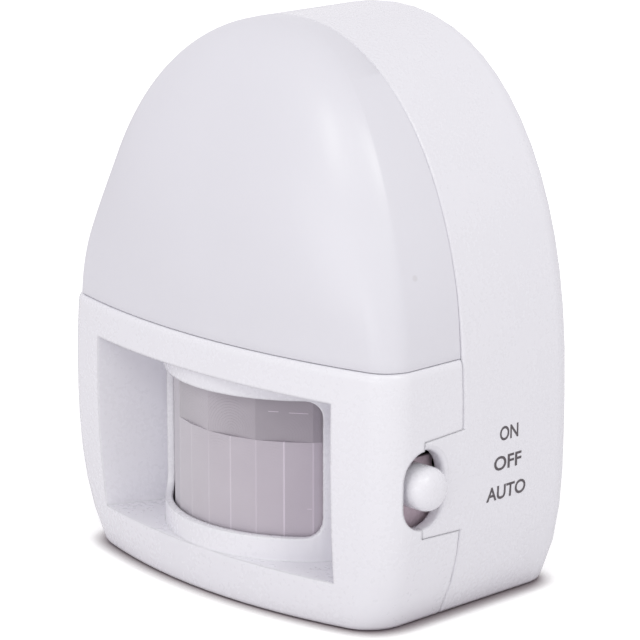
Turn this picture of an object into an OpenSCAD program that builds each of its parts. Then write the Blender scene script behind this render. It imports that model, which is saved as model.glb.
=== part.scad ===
// Battery night light with an opal dome, a movement sensor window and a three position slide switch.
// Millimetres, +Z up, front towards -Y. The origin is the middle of the flat base.

/* [Body] */
// Overall height, base to crown
body_h = 100; // [92:1:115]
// Overall width without the knob
body_w = 83.8; // [80:0.2:94]
// Width of the flat base
base_w = 72.6; // [66:0.2:76]
// Height at which the body is widest
widest_z = 35.5; // [32:0.5:38]
// Depth of the rear case behind the parting plane
rear_d = 28.2; // [28:0.1:36]
// Depth of the front housing before the parting plane, on the middle line
front_d = 23.4; // [22.8:0.1:26]
// Roundness of the crown seen from the front, up the height
crown_rise = 2.29; // [2.1:0.01:2.5]
// Roundness of the crown seen from the front, across the width
crown_spread = 2.15; // [2:0.01:2.4]
// How steeply the sides draw in towards the base
foot_draw = 3.7; // [3:0.1:4.5]
// How far the front face bows out between its corners
front_bow = 6.1; // [4:0.1:7]
// How far the front face leans back at the base
front_lean = 2; // [1:0.1:3]
// Radius of the front corners seen from above
corner_r = 5; // [4:0.1:7]
// Radius of the rear edge
rear_edge_r = 5; // [4:0.1:6]
// Rounding of the bottom edge
base_edge_r = 0.9; // [0.5:0.1:1.5]
// Height of the rounding along the top edge of the front housing
top_edge_h = 1.5; // [0.8:0.1:2]
// How far that rounding draws in
top_edge_in = 0.6; // [0.5:0.05:0.8]
// Wall of the rear case and the front housing
wall = 2.4; // [2.2:0.1:2.8]
// Bevel on both edges of the parting line
seam_bevel = 0.3; // [0.2:0.05:0.5]
// Gap between the front pieces and the rear case at the parting plane
seam_gap = 0.1; // [0.05:0.05:0.2]

/* [Diffuser] */
// Height of the line between diffuser and front housing
split_z = 46.6; // [46:0.1:50]
// Wall of the diffuser
diffuser_wall = 1.5; // [1.3:0.1:1.7]
// Step from the housings in to the diffuser
diffuser_step = 0.45; // [0.3:0.05:0.6]
// Roundness of the dome seen from the side, up the height
dome_rise = 2; // [1.8:0.05:2.3]
// Roundness of the dome seen from the side, front to back
dome_swell = 2.4; // [2.2:0.05:2.6]
// Fullness of the upper dome seen from above, where 2 is an ellipse
dome_fullness = 3; // [2.6:0.1:3.6]
// Height of the lip that stands up behind the diffuser
lip_h = 2.4; // [1.5:0.1:3.5]
// Thickness of the lips
lip_t = 1.2; // [1:0.1:1.4]
// Clearance between a lip and what closes over it
lip_gap = 0.25; // [0.2:0.05:0.3]

/* [Sensor window] */
// Height of the recess floor
recess_floor = 8.5; // [7:0.1:9]
// Height of the recess ceiling
recess_top = 40.5; // [40:0.1:42]
// Distance of the recess opening from the sides of the body
recess_margin = 12.1; // [11.5:0.1:12.6]
// Angle of the recess side walls to straight back
recess_draft = 22.5; // [20:0.5:24]
// Wall behind the recess
recess_wall = 1.8; // [1.5:0.1:2.2]
// Outer radius of the window drum
drum_r = 25.9; // [25.4:0.1:26.4]
// Wall of the window drum
drum_wall = 1.3; // [1:0.1:1.6]
// How far the drum axis lies behind the parting plane
drum_back = 3.7; // [3.3:0.1:4.1]
// Sill of the window
window_z = 12.7; // [12:0.1:14]
// Height of the window
window_h = 24.7; // [22:0.1:25]
// Angle that the window spans
window_angle = 104; // [90:1:106]
// Corner radius of the window
window_r = 3.2; // [2:0.1:4]
// Thickness of the lens sheet
lens_t = 0.8; // [0.6:0.1:1]
// Number of facets in the lower lens row
lens_facets = 10; // [6:2:14]
// Height of the line between the two lens rows
lens_row_z = 29.5; // [27:0.5:32]
// Thickness of the frame behind the lens
lens_frame_t = 1; // [0.8:0.1:1.4]

/* [Switch] */
// Distance of the switch from the parting plane towards the front
switch_fwd = 9.3; // [9:0.1:9.5]
// Height of the knob at its middle position
switch_z = 26.1; // [25.5:0.1:26.5]
// Width of the switch slot
slot_w = 9.3; // [9:0.1:9.6]
// Height of the switch slot
slot_h = 13.9; // [13.8:0.1:15]
// How far the middle of the slot lies below the knob
slot_drop = 0.5; // [0:0.1:0.6]
// Rounding along the half of the slot that lies in the tab
slot_round = 0.9; // [0.4:0.1:1.2]
// Height of the case tab that holds half of the slot
tab_h = 18; // [17:0.5:19]
// How far the middle of the tab lies below the knob
tab_drop = 0.6; // [0.2:0.1:0.8]
// How far each edge of the tab closes in towards its tip
tab_taper = 0.5; // [0:0.1:0.8]
// Diameter of the knob
knob_d = 7.7; // [7:0.1:7.9]
// How far the knob domes out of the side
knob_dome = 3.1; // [2.4:0.1:3.4]
// Fullness of the dome of the knob, where 2 is an ellipse
knob_swell = 2.5; // [2:0.1:3]
// How far the plate behind the slot reaches below the axis of the knob
knob_plate_drop = 8.5; // [7.5:0.1:8.6]
// How far that plate reaches behind the axis of the knob
knob_plate_back = 3.6; // [3:0.1:4.4]
// Travel of the knob each way from the middle
knob_travel = 2.4; // [2:0.1:2.4]
// Length of the slide switch body
slide_body_l = 12; // [11:0.5:13]
// Width of the slide switch body
slide_body_w = 5; // [4.5:0.5:5.5]
// Height of the slide switch body
slide_body_h = 3.8; // [3.4:0.1:4]
// Side of the square slide lever
lever_w = 2; // [1.6:0.1:2.2]
// Thickness of the switch board
switch_board_t = 1.2; // [1:0.1:1.6]
// Height of the switch board
switch_board_h = 16.5; // [15:0.5:17]

/* [Battery compartment] */
// Diameter of one cell
cell_d = 14.5; // [13.9:0.1:14.5]
// Length of one cell with its nub
cell_l = 50.5; // [50:0.1:50.5]
// Distance between cell axes
cell_pitch = 15.2; // [15:0.1:15.4]
// Clearance between a cell and the tray
cell_gap = 0.2; // [0.1:0.05:0.3]
// Height of the tray floor
tray_z = 10; // [9.5:0.1:10.5]
// Wall of the battery tray
tray_wall = 1.6; // [1.4:0.1:1.8]
// Length of a compressed battery spring
spring_l = 6.3; // [5.5:0.1:6.5]
// Wire radius of the battery springs
spring_wire_r = 0.45; // [0.4:0.05:0.5]
// Turns of a battery spring
spring_turns = 4; // [3:1:5]
// Thickness of the contact plates
contact_t = 0.4; // [0.3:0.05:0.5]
// Thickness of the battery door
door_t = 1.6; // [1.4:0.1:1.8]
// Ledge that the battery door rests on
door_ledge = 2; // [1.5:0.1:2.5]
// Clearance round the battery door
door_gap = 0.2; // [0.15:0.05:0.3]
// Radius of the door hinge lugs
lug_r = 1.1; // [1:0.05:1.15]
// Radius of the door hinge pins
hinge_pin_r = 0.8; // [0.7:0.05:0.8]
// Running clearance of the hinge pins
hinge_gap = 0.05; // [0.03:0.01:0.08]

/* [Boards] */
// Thickness of the circuit boards
board_t = 1.6; // [1.2:0.1:1.8]
// Distance of the boards behind the parting plane
board_back = 5; // [4.8:0.1:5.2]
// Radius of the sensor can
can_r = 4.6; // [4:0.1:4.8]
// Height of the sensor can
can_h = 4.2; // [3.6:0.1:4.4]
// Side of one light emitting diode
led_side = 5; // [4:0.1:5.2]
// Height of one light emitting diode
led_t = 1.4; // [1:0.1:1.6]
// Distance between the diodes across
led_pitch = 14.5; // [12:0.5:15]
// Length of the control chip
chip_l = 10; // [9:0.1:11]
// Width of the control chip without its legs
chip_w = 4; // [3.6:0.1:4.4]
// Distance between the legs of the control chip
chip_pitch = 1.27; // [1.2:0.01:1.3]
// Radius of one capacitor
capacitor_r = 2.4; // [2:0.1:2.6]
// Height of one capacitor
capacitor_h = 7; // [6:0.5:8]
// Length of one resistor
resistor_l = 2; // [1.6:0.1:2.4]
// Radius of the light sensor
light_sensor_r = 2.5; // [2:0.1:2.6]
// Distance between the pins that link the boards
link_pitch = 2.54; // [2.4:0.01:2.6]

/* [Screws] */
// Distance of the case screws from the outline
screw_inset = 6; // [5.8:0.1:6.4]
// Height of the lower case screws
low_screw_z = 12; // [11.5:0.1:12.5]
// Height of the upper case screws
high_screw_z = 41; // [40.5:0.1:41.5]
// Length of a case screw
case_screw_l = 16; // [14:0.5:16]
// Shank radius of a case screw
shank_r = 1.45; // [1.3:0.05:1.5]
// Length of a board screw
board_screw_l = 5; // [4.5:0.1:5]
// Shank radius of a board screw
board_screw_r = 1; // [0.9:0.05:1.1]

/* [Wall mounting] */
// Distance between the keyholes
keyhole_spacing = 26; // [22:1:28]
// Height of the keyhole entries
keyhole_z = 80; // [79:0.5:82]
// Diameter of the keyhole entries
keyhole_d = 8; // [7:0.1:8.4]
// Width of the keyhole slots
keyhole_slot_w = 4; // [3.5:0.1:4.4]
// Rise of the keyhole slots above their entries
keyhole_rise = 5.5; // [5:0.1:6]

/* [Hidden] */
$fn = 48;

// Colours
WHITE = [0.93, 0.93, 0.95];
OPAL = [0.96, 0.96, 0.98];
MILKY = [0.8, 0.78, 0.8];
BOARD_GREEN = [0.1, 0.36, 0.2];
BLACK = [0.08, 0.08, 0.09];
TIN = [0.75, 0.75, 0.76];
STEEL = [0.6, 0.6, 0.62];

// The parting plane lies this far from the origin, so that the origin is at mid depth
seam_y = (front_d - rear_d) / 2;
eps = 0.01;
// Root of the lip on the rear case, how far it reaches forward and how deep it sinks into the wall
lip_root = 2.2;
lip_reach = 1.8;
lip_sink = 0.2;

// Counts of segments along the outlines
low_steps = 7;
crown_steps = 16;
edge_steps = 5;
face_steps = 7;
corner_steps = 5;
dome_steps = 13;

// Everything below is drawn with the parting plane at y = 0 and then moved
module from_seam() {
    translate([0, seam_y, 0])
        children();
}

// Outline of the body seen from the front

// Rounding that the bottom edge takes off at height z
function base_edge(z) =
    z < base_edge_r ? base_edge_r - sqrt(base_edge_r * base_edge_r - pow(base_edge_r - z, 2)) : 0;

// Half width of the body at height z, drawn in all round by inset
function half_w(z, inset = 0) =
    z < widest_z
    ? body_w / 2 - inset - base_edge(z)
        - (body_w - base_w) / 2 * pow((widest_z - z) / widest_z, foot_draw)
    : (body_w / 2 - inset)
        * pow(max(0, 1 - pow((z - widest_z) / (body_h - inset - widest_z), crown_rise)), 1 / crown_spread);

// Height of step k on the lower flank that starts at z0
function low_z(k, z0) =
    k < 3
    ? z0 + base_edge_r * [0, 0.3, 1][k]
    : z0 + base_edge_r + (widest_z - z0 - base_edge_r) * (k - 2) / (low_steps - 2);

// Right half of the arch from the base to the crown
function arch_right(inset, z0) = concat(
    [for (k = [0 : low_steps - 1]) [half_w(low_z(k, z0), inset), low_z(k, z0)]],
    [for (k = [0 : crown_steps])
        let (a = 90 * k / crown_steps)
        [(body_w / 2 - inset) * pow(cos(a), 2 / crown_spread),
            widest_z + (body_h - inset - widest_z) * pow(sin(a), 2 / crown_rise)]]
);

// Whole arch, from the right foot over the crown to the left foot
function arch(inset = 0, z0 = 0) =
    let (right = arch_right(inset, z0), last = len(right) - 1)
    concat(right, [for (k = [last - 1 : -1 : 0]) [-right[k][0], right[k][1]]]);

// Plan of the front pieces

// Depth of the front face on the middle line at height z
function face_d(z) = front_d - front_lean * pow((z - 32) / 32, 2);

// Right half of one plan section, from the middle of the front round the corner to the seam
function plan_right(w, d, r, bevel) = concat(
    [for (k = [0 : face_steps]) let (x = (w - r) * k / face_steps) [x, -(d - front_bow * pow(x / w, 2))]],
    [for (k = [1 : corner_steps])
        let (a = 90 * k / corner_steps, x = w - r + r * sin(a))
        [x, -(d - front_bow * pow(x / w, 2) - r * (1 - cos(a)))]],
    [[w, -seam_bevel], [w - bevel, 0]]
);
// Whole plan section, from the left seam round the front to the right seam
function plan(w, d, r, bevel) =
    let (right = plan_right(w, d, r, bevel), last = len(right) - 1)
    concat([for (k = [last : -1 : 1]) [-right[k][0], right[k][1]]], right);

// Section of the front housing at height z, drawn in by inset
function housing_plan(z, inset, bevel = 0) =
    plan(half_w(z) - inset, face_d(z) - inset - base_edge(z), max(corner_r - inset, 2), bevel);

// Plan section turned into a rounder one by a share of 0 to 1
function rounder_plan(points, w, d, share) = [
    for (p = points)
        let (
            c = p[0] / w,
            s = -p[1] / d,
            m = s > 0 ? pow(pow(abs(c), dome_fullness) + pow(s, dome_fullness), -1 / dome_fullness) : 1
        )
        p * (1 + (m - 1) * share)
];

// Section k of the dome, spaced like the points of the arch and drawn in by inset
function dome_row(k, inset, bevel = 0) =
    let (
        rise = body_h - inset - widest_z,
        foot_a = asin(pow((split_z - widest_z) / rise, crown_rise / 2)),
        a = foot_a + (90 - foot_a) * k / dome_steps,
        z = widest_z + rise * pow(sin(a), 2 / crown_rise),
        u = (z - split_z) / (body_h - inset - split_z),
        kx = half_w(z, inset) / half_w(split_z, inset),
        ky = pow(max(0, 1 - pow(u, dome_rise)), 1 / dome_swell),
        w = half_w(split_z, inset),
        d = face_d(split_z) - inset,
        rise_share = min(1, 2 * u),
        share = rise_share * rise_share * (3 - 2 * rise_share),
        section = rounder_plan(plan(w, d, max(corner_r - inset, 2), bevel), w, d, share)
    )
    [for (p = section) [p[0] * kx, p[1] * ky, z]];

// Skins made from rows of points

// Triangles of a grid with n by m cells from index s, seen from its outer side
function grid(n, m, s, flip = false) = [
    for (i = [0 : n - 1], j = [0 : m - 1], h = [0, 1])
        let (a = s + i * (m + 1) + j, b = a + m + 1)
        let (t = h == 0 ? [a, b, b + 1] : [a, b + 1, a + 1])
        flip ? [t[2], t[1], t[0]] : t
];
// Triangles between two rows of indices
function strip(a, b) = [
    for (k = [0 : len(a) - 2], h = [0, 1])
        h == 0 ? [a[k], b[k], b[k + 1]] : [a[k], b[k + 1], a[k + 1]]
];

// Skin between outer rows and inner rows that are open at the seam, the top and the bottom
module open_skin(outer, inner) {
    n = len(outer) - 1;
    m = len(outer[0]) - 1;
    s = (n + 1) * (m + 1);
    polyhedron(
        points = concat([for (r = outer) each r], [for (r = inner) each r]),
        faces = concat(
            grid(n, m, 0), grid(n, m, s, true),
            strip([for (j = [0 : m]) s + j], [for (j = [0 : m]) j]),
            strip([for (j = [0 : m]) n * (m + 1) + j], [for (j = [0 : m]) s + n * (m + 1) + j]),
            strip([for (i = [0 : n]) i * (m + 1)], [for (i = [0 : n]) s + i * (m + 1)]),
            strip([for (i = [0 : n]) s + i * (m + 1) + m], [for (i = [0 : n]) i * (m + 1) + m])
        )
    );
}

// Skin like the one above whose rows close on one point at the crown
module domed_skin(outer, inner, outer_tip, inner_tip) {
    n = len(outer) - 1;
    m = len(outer[0]) - 1;
    s = (n + 1) * (m + 1);
    tip = 2 * s;
    top = n * (m + 1);
    polyhedron(
        points = concat([for (r = outer) each r], [for (r = inner) each r], [outer_tip, inner_tip]),
        faces = concat(
            grid(n, m, 0), grid(n, m, s, true),
            [for (j = [0 : m - 1]) [top + j, tip, top + j + 1]],
            [for (j = [0 : m - 1]) [s + top + j + 1, tip + 1, s + top + j]],
            strip([for (j = [0 : m]) s + j], [for (j = [0 : m]) j]),
            strip(concat([for (i = [0 : n]) i * (m + 1)], [tip]),
                concat([for (i = [0 : n]) s + i * (m + 1)], [tip + 1])),
            strip(concat([for (i = [0 : n]) s + i * (m + 1) + m], [tip + 1]),
                concat([for (i = [0 : n]) i * (m + 1) + m], [tip]))
        )
    );
}

// Cup between closed outer rings and inner rings, open at the first ring
module cup_skin(outer, inner) {
    n = len(outer) - 1;
    q = len(inner) - 1;
    m = len(outer[0]);
    s = (n + 1) * m;
    polyhedron(
        points = concat([for (r = outer) each r], [for (r = inner) each r]),
        faces = concat(
            [for (i = [0 : n - 1], k = [0 : m - 1], h = [0, 1])
                let (a = i * m + k, b = i * m + (k + 1) % m)
                h == 0 ? [a, b, b + m] : [a, b + m, a + m]],
            [for (i = [0 : q - 1], k = [0 : m - 1], h = [0, 1])
                let (a = s + i * m + k, b = s + i * m + (k + 1) % m)
                h == 0 ? [b + m, b, a] : [a + m, b + m, a]],
            [for (k = [0 : m - 1], h = [0, 1])
                let (k2 = (k + 1) % m)
                h == 0 ? [s + k, s + k2, k2] : [s + k, k2, k]],
            [[for (k = [0 : m - 1]) n * m + k]],
            [[for (k = [m - 1 : -1 : 0]) s + q * m + k]]
        )
    );
}

// Solid through flat rings of points, each counterclockwise to one who looks back along the rings
module ring_solid(rings) {
    n = len(rings);
    m = len(rings[0]);
    polyhedron(
        points = [for (r = rings) each r],
        faces = concat(
            [for (i = [0 : n - 2], k = [0 : m - 1], h = [0, 1])
                let (a = i * m + k, b = i * m + (k + 1) % m)
                h == 0 ? [a, b + m, b] : [a, a + m, b + m]],
            [[for (k = [0 : m - 1]) k]],
            [[for (k = [m - 1 : -1 : 0]) (n - 1) * m + k]]
        )
    );
}

// Tube of radius r along a path of points
function unit(v) = v / norm(v);
function tangent(p, i) = unit(p[min(i + 1, len(p) - 1)] - p[max(i - 1, 0)]);
module tube(path, r, up, sides = 6) {
    ring_solid([
        for (i = [0 : len(path) - 1])
            let (t = tangent(path, i), u = unit(up - (up * t) * t), v = cross(t, u))
            [for (k = [0 : sides - 1])
                let (a = 360 * k / sides)
                path[i] + r * (u * cos(a) + v * sin(a))]
    ]);
}

// A 2D shape drawn in x and z, thick from y0 to y1
module slab(y0, y1) {
    translate([0, y1, 0])
        rotate([90, 0, 0])
            linear_extrude(y1 - y0)
                children();
}

// A cylinder along y from y0 to y1
module rod(x, z, r, y0, y1) {
    translate([x, y1, z])
        rotate([90, 0, 0])
            cylinder(r = r, h = y1 - y0);
}

// A 2D shape drawn in y and z, thick from x0 to x1
module side_slab(x0, x1) {
    translate([x0, 0, 0])
        rotate([90, 0, 90])
            linear_extrude(x1 - x0)
                children();
}

// Battery compartment: room beside the cells and behind them, its door and its hinge
tray_spare = 0.55;
door_spare = 1;
door_corner_r = 1.8;
hinge_depth = 1.2;
hinge_drop = 1;
lug_x0 = 11;
lug_l = 7;
lug_gap = 0.2;
lug_pocket_gap = 0.3;
pin_l = 1.2;
tray_l = cell_l + spring_l + 3 * contact_t;
tray_w = 2 * cell_pitch + cell_d + 2 * (cell_gap + tray_spare);
tray_top = tray_z + tray_l;
back_in = rear_d - wall;
door_in = rear_d - door_t;
ledge_y = door_in - door_gap;
tray_y = ledge_y - door_spare - cell_d - cell_gap;
cell_y = tray_y + cell_gap + cell_d / 2;
opening_w = tray_w + 2 * door_ledge;
opening_z0 = tray_z - door_ledge;
opening_z1 = tray_top + door_ledge;
hinge_y = rear_d - hinge_depth;
hinge_z = opening_z0 - hinge_drop;
lug_mid = lug_x0 + lug_l / 2;
plate_w = 12;
plate_d = 12;
nub_h = 1;
nub_r = 2.6;
tail_x = cell_pitch - 3;
tail_w = 3;
tail_gap = 0.15;
spring_base_r = 4.2;
spring_tip_r = 2.6;
lead_r = 0.6;

// Boards and screws
screw_seat_h = 1.4;
seat_t = 1.2;
boss_r = 3.1;
well_r = 2.9;
boss_start = 16.6;
board_boss_r = 2.4;
shank_gap = 0.15;
pilot_gap = 0.05;
pilot_spare = 1.2;
board_y0 = board_back;
board_y1 = board_back + board_t;
low_screw = [half_w(low_screw_z) - screw_inset, low_screw_z];
high_screw = [half_w(high_screw_z) - screw_inset, high_screw_z];
screw_seat_y = board_y1 + screw_seat_h;
board_z0 = tray_z - 2;
board_z1 = split_z - 2.6;
board_half = low_screw[0] - boss_r - 0.5;
main_screw_x = board_half - 2.5;
main_screws = [for (s = [-1, 1], z = [board_z0 + 4, board_z1 - 4]) [s * main_screw_x, z]];
lamp_inset = 9;
lamp_z0 = split_z + 0.9;
lamp_z1 = body_h - lamp_inset;
led_rows = [for (f = [0.355, 0.655]) lamp_z0 + f * (lamp_z1 - lamp_z0)];
led_screws = [[-1.25 * led_pitch, lamp_z0 + 6.5], [1.25 * led_pitch, lamp_z0 + 6.5], [0, lamp_z1 - 4]];
sensor_z = window_z + window_h / 2;
pin_r = 0.25;
sensor_pins = [[-1.8, sensor_z - 1.8], [1.8, sensor_z - 1.8], [1.8, sensor_z + 1.8]];

// Switch, from the case side inwards: slot, plate of the knob, slide switch, its board
tab_gap = 0.1;
slot_end_steps = 16;
slot_edge_steps = 4;
knob_steps = 10;
knob_plate_t = 1;
knob_plate_gap = 1.2;
knob_plate_rim = 0.35;
knob_plate_bevel = 1.7;
slide_gap = 0.9;
lever_gap = 0.05;
switch_out_x = half_w(switch_z);
switch_in_x = switch_out_x - wall;
knob_r = knob_d / 2;
knob_plate_x = switch_in_x - knob_plate_gap - knob_plate_t;
slide_x = knob_plate_x - slide_gap - slide_body_h;
switch_board_x = slide_x - switch_board_t;
lever_tip_x = switch_in_x + 0.6;

// Lens and the chamber behind the window
lens_gap = 0.3;
lens_margin = 0.1;
lens_beyond = 8;
lens_r = drum_r - drum_wall - lens_gap;
lens_half = window_angle / 2 + lens_beyond;
facet_angle = 2 * lens_half / lens_facets;
chamber_z0 = recess_floor + 1;
chamber_z1 = recess_top - 0.4;

// Plan of the recess: its half width narrows as it goes back to the drum
recess_w = body_w - 2 * recess_margin;
recess_face_y = -(face_d(recess_floor) - front_bow * pow(recess_w / 2 / half_w(recess_floor), 2));
draft = tan(recess_draft);
recess_c = recess_w / 2 + draft * recess_face_y;
drum_c = recess_c * draft + drum_back;
recess_back_y =
    (drum_c - sqrt(drum_c * drum_c
        - (1 + draft * draft) * (recess_c * recess_c + drum_back * drum_back - drum_r * drum_r)))
    / (1 + draft * draft);
function recess_half(y) = recess_c - draft * y;
wall_half = recess_wall / cos(recess_draft);
// The walls behind the recess end inside the front skin at this depth
skin_mid = face_d(recess_floor - recess_wall) - wall / 4;

// Rear case

function case_ring(y, inset, lift, z0) = [for (p = arch(inset, z0 + lift)) [p[0], y, p[1]]];
// Rings round the rear edge of radius r that ends at y
function edge_rings(y, r, inset, lift, z0) = [
    for (k = [0 : edge_steps])
        let (a = 90 * k / edge_steps)
        case_ring(y - r + r * sin(a), inset + r * (1 - cos(a)), lift * (1 - cos(a)), z0)
];

module case_shell() {
    cup_skin(
        concat([case_ring(0, seam_bevel, 0, 0), case_ring(seam_bevel, 0, 0, 0)],
            edge_rings(rear_d, rear_edge_r, 0, 2 * base_edge_r, 0)),
        concat([case_ring(0, wall, 0, wall)],
            edge_rings(back_in, rear_edge_r - wall, wall, 0, wall))
    );
}

// Band of the arch between two insets, as a 2D shape
module arch_band(outer, inner) {
    difference() {
        polygon(arch(outer, wall + lip_t));
        polygon(arch(inner, wall));
    }
}

module rounded_rect(x0, x1, z0, z1, r) {
    for (x = [x0 + r, x1 - r], z = [z0 + r, z1 - r])
        translate([x, z])
            circle(r = r);
    translate([x0 + r, z0])
        square([x1 - x0 - 2 * r, z1 - z0]);
    translate([x0, z0 + r])
        square([x1 - x0, z1 - z0 - 2 * r]);
}

// Tray that the cells lie in, with the ledge of its door
module battery_tray() {
    w = opening_w + 2 * tray_wall;
    slab(tray_y - tray_wall, back_in + eps)
        translate([-w / 2, opening_z0 - tray_wall])
            square([w, opening_z1 - opening_z0 + 2 * tray_wall]);
    block = [lug_l + 2 * pin_l + 2.6, 2, 4];
    for (s = [-1, 1])
        translate([s * lug_mid - block[0] / 2, back_in - block[1], hinge_z - 2.6])
            cube(block + [0, eps, 0]);
}
module battery_tray_cuts() {
    slab(tray_y, rear_d + 1)
        translate([-tray_w / 2, tray_z])
            square([tray_w, tray_l]);
    slab(ledge_y, rear_d + 1)
        rounded_rect(-opening_w / 2, opening_w / 2, opening_z0, opening_z1, door_corner_r);
    // Bevel along the lower edge, so that the door swings clear of it
    translate([0, rear_d, opening_z0])
        rotate([45, 0, 0])
            cube([opening_w - 0.6, 1, 1], center = true);
    // Pockets and bores of the door hinge
    pocket = lug_r + lug_pocket_gap;
    for (s = [-1, 1]) {
        translate([s * lug_mid - lug_l / 2 - lug_gap, hinge_y - pocket, hinge_z - pocket])
            cube([lug_l + 2 * lug_gap, 4, 2 * pocket + 0.2]);
        translate([s * (lug_x0 + lug_l), hinge_y, hinge_z])
            rotate([0, s * 90, 0])
                cylinder(r = hinge_pin_r + hinge_gap, h = pin_l + lug_pocket_gap);
    }
    // Slots for the solder tails of the end contacts
    tail_slot(-tail_x, tray_top - contact_t);
    tail_slot(tail_x, tray_z);
}
module tail_slot(x, z) {
    translate([x - tail_w / 2 - tail_gap, tray_y - tray_wall - 1, z - tail_gap])
        cube([tail_w + 2 * tail_gap, tray_wall + 2, contact_t + 2 * tail_gap]);
}

// Half of the switch slot reaches forward in a tab of the case side
module tab_prism(x0, x1, gap = 0) {
    z = switch_z - tab_drop;
    tip_y = -switch_fwd - gap;
    root = tab_h / 2 + gap;
    tip = root - tab_taper;
    side_slab(x0, x1)
        polygon([[1, z - root], [1, z + root], [tip_y, z + tip], [tip_y, z - tip]]);
}
module switch_tab() {
    intersection() {
        tab_prism(switch_in_x - 2, switch_out_x + 2);
        slab(-switch_fwd - 1, 2)
            difference() {
                polygon(arch(0));
                polygon(arch(wall));
            }
    }
}

// Outline of the slot, round at both ends, at x and wider by grow all round
function slot_ring(x, grow = 0) = [
    for (s = [1, -1], k = [0 : slot_end_steps])
        let (a = 180 * k / slot_end_steps, r = slot_w / 2 + grow)
        [x, -switch_fwd + s * r * cos(a), switch_z - slot_drop + s * ((slot_h - slot_w) / 2 + r * sin(a))]
];
// The slot, with its outer edge rounded or sharp
module slot_cut(x0, edge = 0) {
    ring_solid(concat(
        [slot_ring(x0)],
        edge == 0 ? [] : [for (k = [0 : slot_edge_steps])
            let (a = 90 * k / slot_edge_steps)
            slot_ring(switch_out_x - edge * (1 - sin(a)), edge * (1 - cos(a)))],
        [slot_ring(switch_out_x + 2, edge)]
    ));
}

// Long boss with a screw well that opens at the back
module screw_boss(p) {
    rod(p[0], p[1], boss_r, 0, screw_seat_y);
    rod(p[0], p[1], well_r + lip_t, screw_seat_y - seat_t, back_in + eps);
}
module screw_boss_cut(p) {
    rod(p[0], p[1], shank_r + shank_gap, -1, rear_d);
    rod(p[0], p[1], well_r, screw_seat_y, rear_d + 1);
}

module keyhole(x) {
    rod(x, keyhole_z, keyhole_d / 2, back_in - 1, rear_d + 1);
    slab(back_in - 1, rear_d + 1) {
        translate([x - keyhole_slot_w / 2, keyhole_z])
            square([keyhole_slot_w, keyhole_rise]);
        translate([x, keyhole_z + keyhole_rise])
            circle(d = keyhole_slot_w);
    }
}

module rear_case() {
    color(WHITE)
    from_seam()
    difference() {
        union() {
            case_shell();
            battery_tray();
            // Lip that the front pieces close over, on its root
            slab(seam_bevel, lip_root)
                arch_band(wall - lip_sink, wall + lip_gap + lip_t);
            slab(-lip_reach, 2 * seam_bevel)
                arch_band(wall + lip_gap, wall + lip_gap + lip_t);
            switch_tab();
            for (s = [-1, 1], p = [low_screw, high_screw])
                screw_boss([s * p[0], p[1]]);
            for (p = main_screws)
                rod(p[0], p[1], board_boss_r, board_y1, back_in + eps);
            for (p = led_screws)
                rod(p[0], p[1], board_boss_r, board_y1, p[1] < opening_z1 ? tray_y - eps : back_in + eps);
        }
        battery_tray_cuts();
        for (s = [-1, 1], p = [low_screw, high_screw]) {
            screw_boss_cut([s * p[0], p[1]]);
            rod(s * p[0], p[1], boss_r + lip_gap, -2, 0);
        }
        for (p = concat(main_screws, led_screws))
            rod(p[0], p[1], board_screw_r + pilot_gap, board_y1 - 1, board_y0 + board_screw_l + 0.2);
        for (s = [-1, 1])
            keyhole(s * keyhole_spacing / 2);
        slot_cut(switch_in_x - 2, slot_round);
    }
}

// Front housing

module housing_skin() {
    edge = base_edge_r;
    side_top = split_z - top_edge_h;
    // Height and inset of each level, with the top edge rounded back to the diffuser
    levels = concat(
        [[0, 0], [0.3 * edge, 0]],
        [for (k = [0 : low_steps + 1]) [edge + (side_top - edge) * k / (low_steps + 1), 0]],
        [for (k = [1 : edge_steps])
            let (a = 90 * k / edge_steps)
            [side_top + top_edge_h * sin(a), top_edge_in * (1 - cos(a))]]
    );
    open_skin(
        [for (v = levels) [for (p = housing_plan(v[0], v[1], seam_bevel)) [p[0], p[1], v[0]]]],
        [for (v = levels) [for (p = housing_plan(v[0], wall)) [p[0], p[1], v[0]]]]
    );
}

// Point round the drum axis, at an angle from the front
function round_drum(r, a) = [r * sin(a), drum_back - r * cos(a)];
// A curved wall round the drum axis, centred on the front
module sector(r0, r1, z0, z1, angle) {
    translate([0, drum_back, z0])
        rotate(-90 - angle / 2)
            rotate_extrude(angle = angle)
                translate([r0, 0])
                    square([r1 - r0, z1 - z0]);
}

module drum_circle(r) {
    intersection() {
        translate([0, drum_back])
            circle(r = r, $fn = 96);
        translate([-body_w / 2, -body_w])
            square([body_w, body_w]);
    }
}

// Walls round the recess, with the floor and ceiling of the sensor chamber
module recess_block() {
    front_x = recess_half(-skin_mid + front_bow * pow(recess_w / 2 / half_w(recess_floor), 2)) + wall_half;
    back_x = recess_half(recess_back_y) + wall_half;
    front = [for (k = [-face_steps : face_steps])
        let (x = front_x * k / face_steps)
        [x, -(skin_mid - front_bow * pow(x / half_w(recess_floor), 2))]];
    translate([0, 0, recess_floor - recess_wall])
        linear_extrude(recess_top - recess_floor + 2 * recess_wall) {
            polygon(concat(front, [[back_x, recess_back_y], [-back_x, recess_back_y]]));
            intersection() {
                drum_circle(drum_r);
                translate([-body_w / 2, -skin_mid])
                    square([body_w, skin_mid]);
            }
        }
}
module recess_cut() {
    out_y = -front_d - 3;
    translate([0, 0, recess_floor])
        linear_extrude(recess_top - recess_floor)
            difference() {
                polygon([
                    [-recess_half(out_y), out_y], [recess_half(out_y), out_y],
                    [recess_half(recess_back_y), recess_back_y], [-recess_half(recess_back_y), recess_back_y]
                ]);
                drum_circle(drum_r);
            }
}

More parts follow.
